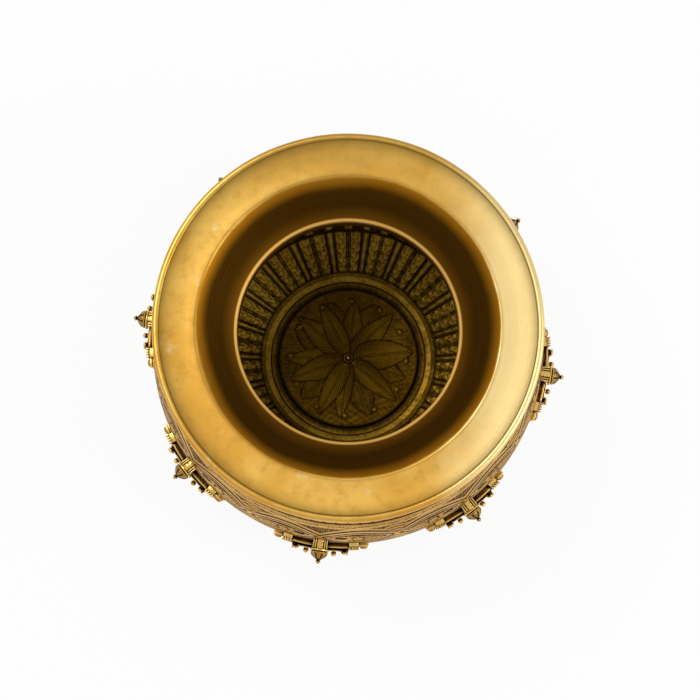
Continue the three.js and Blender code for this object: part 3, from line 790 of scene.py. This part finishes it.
def shell_outside(angle, along):
    low_rise, low_skin = frieze(angle, along)
    high_rise, high_skin = collar(angle, along)
    above = 0.12 * smooth(53, 54, along)
    return low_rise + high_rise, low_skin + high_skin + above


print("frieze unit:", round(UNIT, 1), "mm")

# %% Upper shell
NECK_HOLE = 59.7
SHOULDER_RISE = 68
slant = np.linspace(0, math.pi / 2, 300)
shoulder = np.stack([
    NECK_HOLE + (BELLY - NECK_HOLE) * np.cos(slant),
    BELLY_HEIGHT + SHOULDER_RISE * np.sin(slant),
], 1)
shoulder_length = lengths(shoulder)[-1]
shell_steps = np.concatenate([
    np.arange(0, 42, 0.6), np.arange(42, 53, 1.1), np.linspace(53, shoulder_length, 9),
])
shell_outer = walked(shoulder, shell_steps)
shell_inner = walked(moved(shoulder, SHEET)[::-1], np.linspace(0.4, shoulder_length - 1, 7))
upper_shell = turned("chased_shell", [shell_outer, shell_inner], 1000, sharp=60)
mesh = upper_shell.data
x, y, z = places_of(upper_shell).T
on_frieze = (notes(mesh, "face") < 0.5) & (notes(mesh, "along") < FRIEZE_TOP)
across, up, strands = frieze_place(np.arctan2(y, x), notes(mesh, "along"))
on_fan = fan(across - CROSSING, np.abs(up)) > 0.05
note(mesh, "strand", np.where(on_frieze & ~on_fan, strands + STRAND_START, 0))
emboss(upper_shell, {0: shell_outside, 1: evenly(0.7)})
hand_over(upper_shell, patinated, "shoulder_shell")

# %% [markdown]
# ## Foot ring
# The foot is turned, with a plain tread, a hollow waist and a small moulding under the bowl. It isn't
# seen in the picture. A row of beads on the tread is a common finish for such a foot.

# %% Foot ring
FOOT_BEADS = 132
outside_bowl = outer_line[outer_line[:, 0] < 75]


def under_bowl(radius):
    return np.interp(radius, outside_bowl[:, 0], outside_bowl[:, 1]) - 0.3


foot_outline = np.concatenate([
    curve([(53.5, 0), (53.5, under_bowl(53.5))], 4),
    np.array([(r, under_bowl(r)) for r in (55, 57, 58.6)]),
    arc((58.7, 13.2), 1.5, 80, -80, 9),
    curve([(58.5, 11.2), (57.6, 8.2), (59.2, 5.2)], 7),
    curve([(60.6, 4.9), (62.6, 4.6), (63.0, 3.4)], 5),
    curve([(63.0, 3.0), (63.0, 0.6), (62.4, 0)], 6),
])
foot = turned("turned_foot", [foot_outline], 360)


def foot_beads(angle, along):
    beads = 0.5 + 0.5 * np.cos(FOOT_BEADS * angle)
    tread = crest(along - (foot_length - 11.2), 1.0)
    down = foot_length - along
    hollows = (1 - smooth(20, 24, down)) * smooth(13, 16, down)
    return -0.35 * tread * (1 - beads), 0.5 * hollows + 0.7 * tread * (1 - beads) + 0.25


foot_length = lengths(foot_outline)[-1]
emboss(foot, {0: foot_beads})
hand_over(foot, patinated, "foot_ring")

# %% [markdown]
# ## Cast and peened brass
# The shrines were cast, filed and soldered, then the whole was darkened and rubbed back. Dark patina
# and painted shade sit between their thin plates, and the edges shine. How closed in a place is comes
# from the occlusion node, which here looks at its own piece only, and sets how dark it is painted; the
# edges come from the mesh's own sharpness.

# %% Cast finish
def worn_and_shaded_casting(name, slot, bright, dark, reach):
    finish = Finish(name, slot)
    grain = finish.noise(900, detail=3)
    blots = finish.noise(260, detail=3)
    settings = {"only_local": True, "samples": 8}
    open_to_light = finish.node("AmbientOcclusion", settings, {"Distance": reach}, "AO")
    edges = finish.node("NewGeometry", {}, {}, "Pointiness").between(0.505, 0.56)
    # Painted shade with patina: the more closed in a place is, the nearer its colour comes to the dark
    # one.
    lit_and_rubbed = (open_to_light + 0.6 * (blots - 0.5) + 0.2 * edges).between(0.68, 1.08)
    lit_and_rubbed = lit_and_rubbed * (1 - 0.9 * finish.attribute("patina_and_shade"))
    metal = finish.mix(blots.between(0.3, 0.7), colour(178, 132, 60), colour(118, 80, 32))
    metal = finish.mix(edges, metal, bright)
    finish.feed(
        Base_Color=finish.mix(lit_and_rubbed, dark, metal),
        Roughness=0.48 - 0.2 * lit_and_rubbed + 0.06 * grain,
        height=0.00005 * grain + 0.00006 * blots,
    )
    return finish


cast = worn_and_shaded_casting("cast_worn_brass_shaded", "cast_brass", colour(232, 190, 104), colour(20, 12, 5), 0.006)
peened = worn_and_shaded_casting("peened_brass_shaded", "rivet_brass", colour(176, 136, 66), colour(60, 40, 20), 0.002)
print("made", cast.material.name, "and", peened.material.name)

# %% [markdown]
# ## Centre rivet
# A domed rivet holds the medallion to the floor, and its tail is peened over underneath.

# %% Centre rivet
def outward_dome(radius, base, rise, count=7):
    angles = np.radians(np.linspace(0, 90, count))
    return np.stack([radius * np.cos(angles), base + rise * np.sin(angles)], 1)


rivet_tail = outward_dome(3, 10.5, -1.3)[::-1]
rivet_shank = np.array([(1.6, 10.5), (1.6, 14.7)])
knob_dome = outward_dome(1.8, 15.3, 1.2)
knob = np.concatenate([[(2.9, 14.7)], outward_dome(3.0, 15.0, 0.5)[:4], [(1.95, 15.35)], knob_dome])
centre_rivet = turned("centre_rivet_head", [rivet_tail, rivet_shank, knob], 48)
emboss(centre_rivet, {2: lambda angle, along: (0 * along, 0.85 * (1 - smooth(1.9, 2.4, along)))})
hand_over(centre_rivet, peened, "centre_rivet")

# %% [markdown]
# ## Building a cast shrine from blocks
# A caster's pattern for such a shrine is a little building of wax slabs and pellets. It is laid out flat
# here: x runs along the belly, y out from it and z up from the belly's widest line. Each slab is a cube,
# cut where it will have to bend and with its edges softened, and pellets are small spheres. The whole
# is joined and then bent round the pot in one step, with its back pressed on to the shells.

# %% Slabs and pellets
ROOT = -14


def slab(x, y, z, soft=0.25, bends=0, lifts=()):
    """A softened block between pairs of x, y and z, cut across its length and at given heights."""
    deselect()
    bpy.ops.mesh.primitive_cube_add(size=1)
    block = bpy.context.object
    low, high = np.minimum(*np.array([x, y, z]).T), np.maximum(*np.array([x, y, z]).T)
    for vertex in block.data.vertices:
        vertex.co = [high[k] if vertex.co[k] > 0 else low[k] for k in range(3)]
    bpy.ops.object.mode_set(mode="EDIT")
    bpy.ops.mesh.select_all(action="SELECT")
    bpy.ops.mesh.bevel(offset=soft, segments=2, affect="EDGES")
    for cut in np.linspace(low[0], high[0], bends + 2)[1:-1]:
        bpy.ops.mesh.select_all(action="SELECT")
        bpy.ops.mesh.bisect(plane_co=(cut, 0, 0), plane_no=(1, 0, 0))
    for cut in lifts:
        bpy.ops.mesh.select_all(action="SELECT")
        bpy.ops.mesh.bisect(plane_co=(0, 0, cut), plane_no=(0, 0, 1))
    bpy.ops.object.mode_set(mode="OBJECT")
    return block


def pellet(x, y, z, radius, rings=6, stretch=(1, 1, 1)):
    deselect()
    bpy.ops.mesh.primitive_uv_sphere_add(segments=2 * rings, ring_count=rings, radius=radius)
    ball = bpy.context.object
    for vertex in ball.data.vertices:
        vertex.co = [vertex.co[k] * stretch[k] + (x, y, z)[k] for k in range(3)]
    return ball


def joined(parts, name):
    deselect()
    for part in parts:
        part.select_set(True)
    bpy.context.view_layer.objects.active = parts[0]
    bpy.ops.object.join()
    piece = bpy.context.object
    piece.name = piece.data.name = name
    return piece


print("slab helpers ready")

# %% [markdown]
# ## One shrine
# Seen from above the shrine shows a bracket between thin plates, two bars with a dark gap behind them,
# stacks of slanted plates, blocks of upright ribs and small wings that run out against the belly. Its
# front is hidden in the picture. A moulded plinth, ribbed pilasters and a niche are usual, and the niche
# holds a flower here.

# %% Shrine body
def both_sides(x, *rest, **more):
    """The same slab left and right of the middle."""
    return [slab(x, *rest, **more), slab((-x[0], -x[1]), *rest, **more)]


WING_LIFTS = (-15, -11, -7, -3, 0, 4)
shrine_parts = [
    slab((-15.8, 15.8), (ROOT, 6.2), (-19, -17.4), bends=9),
    slab((-15.6, 15.6), (ROOT, 5.3), (-17.5, -15.4), 0.2, bends=9),
    slab((-15.8, 15.8), (ROOT, 6.2), (-15.5, -14), bends=9),
    slab((-15.8, 15.8), (0.6, 1.8), (-14.5, 4), 0.2, bends=9),
    slab((-15.8, 15.8), (1.7, 2.9), (5.2, 7), 0.4, bends=9),
    slab((-15.8, 15.8), (1.0, 2.0), (3.4, 4.6), 0.3, bends=9),
    slab((-11.5, 11.5), (1.5, 5.0), (-5.6, -4.2), 0.3, bends=7),
    slab((-11.5, 11.5), (4.4, 5.6), (-4.5, -2.5), 0.45, bends=7),
    slab((-1.7, 1.7), (-4, 4.2), (1.5, 12.4), 0.6, lifts=(5, 9)),
]
for near in (2.1, 3.25):
    shrine_parts += both_sides((near, near + 0.66), (-4, 3.9), (1.5, 12.1), soft=0.18, lifts=(5, 9))
shrine_parts += both_sides((15.5, 20.6), (ROOT, 2.6), (-19, 9.1), soft=0.2, lifts=WING_LIFTS)
shrine_parts += both_sides((15.3, 20.8), (2.1, 4.6), (-19, -16.6), soft=0.3)
shrine_parts += both_sides((15.3, 20.8), (2.1, 4.5), (-3.4, -2.2), soft=0.25)
shrine_parts += both_sides((20.1, 26), (ROOT, 1.5), (-19, 7.4), soft=0.3, lifts=WING_LIFTS)
shrine_parts += both_sides((20.1, 26), (0.8, 2.3), (6.7, 8), soft=0.3)
for rib in range(4):
    start = 15.5 + 1.42 * rib
    shrine_parts += both_sides((start, start + 0.84), (2.0, 4.2), (-17, 9.5), soft=0.18)
for rib in range(3):
    start = 21.4 + 1.5 * rib
    shrine_parts += both_sides((start, start + 0.8), (1.2, 2.3 - 0.2 * rib), (-17, 6.4), soft=0.18)
for plate in range(3):
    start = 11.1 + 1.45 * plate
    reach = (3.6, 5.4 + 0.55 * plate)
    shrine_parts += both_sides((start, start + 0.86), reach, (-14.2, 1.2 - 0.5 * plate), soft=0.18)
shrine_parts += both_sides((11, 15.2), (3.4, 4.8), (-14.2, 0.2), soft=0.3)
print("shrine slabs:", len(shrine_parts))

# %% Shrine ornament
def petal_ring(x, y, z, radius, count):
    """Petals as stretched pellets round a centre, flat on the niche's panel."""
    petals = []
    for i in range(count):
        turn = 2 * math.pi * i / count
        spread = (x + radius * math.cos(turn), y, z + radius * math.sin(turn))
        stretch = (0.55 + 0.5 * abs(math.cos(turn)), 0.45, 0.55 + 0.5 * abs(math.sin(turn)))
        petals.append(pellet(*spread, radius * 0.55, 5, stretch))
    return petals


shrine_parts += petal_ring(0, 2.0, -8.8, 3.4, 8) + [pellet(0, 2.4, -8.8, 1.5, 6, (1, 0.8, 1))]
for side in (-1, 1):
    shrine_parts += [
        pellet(side * 7.3, 7.1, -3.5, 1.5, 7),
        pellet(side * 7.3, 5.8, -3.5, 0.9, 5, (1, 1.4, 1)),
        pellet(side * 12.9, 5.4, 1.3, 1.1, 6, (1.3, 0.9, 0.6)),
        pellet(side * 1.0, 3.3, 12.0, 0.7, 5),
        pellet(side * 1.1, 1.2, 12.1, 0.6, 5),
    ]
    shrine_parts += [pellet(side * 25.6, 0.7, 3.5 - 5.0 * i, 1.1, 5, (0.6, 1, 1.3)) for i in range(5)]
for i in range(15):
    turn = math.pi * i / 14
    shrine_parts.append(pellet(9.4 * math.cos(turn), 2.3, -8.6 + 8.2 * math.sin(turn), 0.72, 4))
for i in range(19):
    shrine_parts.append(pellet(-13.95 + 1.55 * i, 6.0, -16.5, 0.62, 4))
shrine = joined(shrine_parts, "shrine")
print("shrine faces:", len(shrine.data.polygons))

# %% Bend the shrine round the belly
LEAN = 0.35


def shell_radius(height):
    """Outer face of bowl and upper shell at heights above the standing plane."""
    lower = outer_line[np.argsort(outer_line[:, 1])]
    bowl_face = np.interp(height, lower[:, 1], lower[:, 0])
    slope = np.sqrt(np.clip(1 - ((height - BELLY_HEIGHT) / SHOULDER_RISE) ** 2, 0, 1))
    return np.where(height > BELLY_HEIGHT, NECK_HOLE + (BELLY - NECK_HOLE) * slope, bowl_face)


def bend_round(piece):
    """Lays a flat piece round the belly; its back never goes deeper than the shells' faces."""
    x, y, z = places_of(piece).T
    turn = x / BELLY
    radius = np.maximum(BELLY + y + LEAN * np.minimum(z, 0), shell_radius(BELLY_HEIGHT + z) - 0.2)
    set_places(piece, np.stack([radius * np.cos(turn), radius * np.sin(turn), BELLY_HEIGHT + z], 1) * MM)


bend_round(shrine)
deselect()
shrine.select_set(True)
bpy.context.view_layer.objects.active = shrine
bpy.ops.object.mode_set(mode="EDIT")
bpy.ops.mesh.select_all(action="SELECT")
bpy.ops.mesh.normals_make_consistent(inside=False)
bpy.ops.object.mode_set(mode="OBJECT")
bpy.ops.object.shade_smooth_by_angle(angle=math.radians(38))
print("shrine reaches", round(max(v.co.x for v in shrine.data.vertices) / MM, 1), "mm from the axis")

# %% [markdown]
# ## Lotus boss
# Each bracket carries a ribbed bud on a thin collar, with a flared bead at its tip. It is turned about
# its own axis, and the ribs are pressed into its round part.

# %% Lotus boss
BOSS_START = BELLY + 4.2
BOSS_HEIGHT = 62
BOSS_RIBS = 8
boss_face = np.array([
    (1.2, -3.2), (1.2, 0), (5.2, 0), (5.4, 0.25), (5.4, 0.8), (5.1, 1.05), (4.2, 1.1), (4.15, 1.4),
    (4.75, 1.55), (4.95, 1.9), (4.75, 2.2), (4.3, 2.3),
])
boss_bud = curve([(4.6, 2.3), (4.9, 3.7), (2.9, 4.9), (0.85, 6.3)], 14)
boss_tip = np.concatenate([
    [(0.8, 6.4), (1.2, 6.65), (1.5, 7.0), (1.35, 7.3), (0.8, 7.4)],
    outward_dome(0.9, 7.5, 0.8, 5)[:-1], [(0, 8.3)],
])
boss = turned("lotus", [boss_face, boss_bud, boss_tip, np.array([(0, -3.2)])], 80)


def bud_ribs(angle, along):
    valley = crest((angle * BOSS_RIBS / (2 * math.pi)) % 1 - 0.5, 0.17)
    zone = smooth(0.1, 0.8, along) * (1 - smooth(4.2, 5.4, along))
    return -0.5 * valley * zone, valley * zone + 0.8 * crest(along, 0.4)


def point_outward(piece, start, height):
    """Turns a piece that stands on the pot's axis so that it points outward, along x."""
    x, y, z = places_of(piece).T
    set_places(piece, np.stack([start * MM + z, y, height * MM - x], 1))


emboss(boss, {1: bud_ribs})
point_outward(boss, BOSS_START, BOSS_HEIGHT)
print("boss faces:", len(boss.data.polygons))

# %% Frame rivet
RIVET_HEIGHT = 60.4
RIVET_RADIUS = 2.1
head, tail = outward_dome(RIVET_RADIUS, 110.2, 1.0, 6), outward_dome(RIVET_RADIUS, 104.6, -0.7, 6)
rivet = turned("rivet", [head, tail[::-1]], 20)
point_outward(rivet, 0, RIVET_HEIGHT)
print("rivet faces:", len(rivet.data.polygons))

# %% [markdown]
# ## Eight of each
# The shrine, its boss and its two rivets are made once and set round the belly at every eighth of a
# turn. Each copy has its own mesh, so that its place is in its points.

# %% Set them round the belly
def set_round(pattern, name, angle, finish, node):
    copy = pattern.copy()
    copy.data = pattern.data.copy()
    copy.name = copy.data.name = name
    copy.data.transform(Matrix.Rotation(angle, 4, "Z"))
    bpy.context.scene.collection.objects.link(copy)
    hand_over(copy, finish, node)


RIVET_TURN = 23.3 / BELLY
for number in range(1, SHRINES + 1):
    angle = FIRST_SHRINE + (number - 1) * 2 * math.pi / SHRINES
    set_round(shrine, f"cast_shrine_{number}", angle, cast, f"shrine_frame_{number}")
    set_round(boss, f"lotus_{number}", angle, cast, f"lotus_boss_{number}")
    for side, shift in (("right", -RIVET_TURN), ("left", RIVET_TURN)):
        name = f"rivet_{number}_{side}"
        set_round(rivet, name, angle + shift, peened, f"frame_rivet_{number}_{side}")
for pattern in (shrine, boss, rivet):
    bpy.data.objects.remove(pattern)

# %% [markdown]
# ## Floor and light
# The picture has no background but white. The pot stands on a pale floor which the camera sees as
# white, and two broad soft lamps and an even sky light it. The lamp on the right is the stronger, as
# its reflection on the brim shows.

# %% Floor
deselect()
bpy.ops.mesh.primitive_plane_add(size=6)
floor = bpy.context.object
floor.name = "floor"
paint = Finish("pale_floor", None, metallic=0)
paint.shader.inputs["Base Color"].default_value = (0.86, 0.86, 0.86, 1)
paint.shader.inputs["Roughness"].default_value = 0.9
straight, glossy, clear = [
    paint.node("LightPath", {}, {}, f"Is {kind} Ray") for kind in ("Camera", "Glossy", "Transmission")
]
white = paint.node("Emission", {}, {})
paper = Number(paint, paint.shader.outputs[0])
seen = paint.node("MixShader", {}, {0: 0.9 * (straight + glossy + clear), 1: paper, 2: white})
paint.tree.links.new(seen.socket, paint.tree.nodes["Material Output"].inputs[0])
floor.data.materials.append(paint.material)
print("floor ready")

# %% Sky and lamps
world = bpy.data.worlds.new("even_sky")
world.use_nodes = True
sky = world.node_tree.nodes["Background"]
sky.inputs["Color"].default_value = (0.96, 0.97, 1.0, 1)
sky.inputs["Strength"].default_value = 0.75
bpy.context.scene.world = world


def soft_lamp(name, place, size, power):
    lamp_data = bpy.data.lights.new(name, "AREA")
    lamp_data.shape = "DISK"
    lamp_data.size = size
    lamp_data.energy = power
    lamp = bpy.data.objects.new(name, lamp_data)
    lamp.location = place
    lamp.rotation_euler = (-1 * lamp.location).to_track_quat("-Z", "Y").to_euler()
    bpy.context.scene.collection.objects.link(lamp)


soft_lamp("left_lamp", (-0.5, 0.4, 1.25), 0.6, 4.5)
soft_lamp("right_lamp", (1.2, -0.3, 1.0), 0.8, 6)
bpy.context.scene.view_settings.view_transform = "Standard"
print("lamps ready")
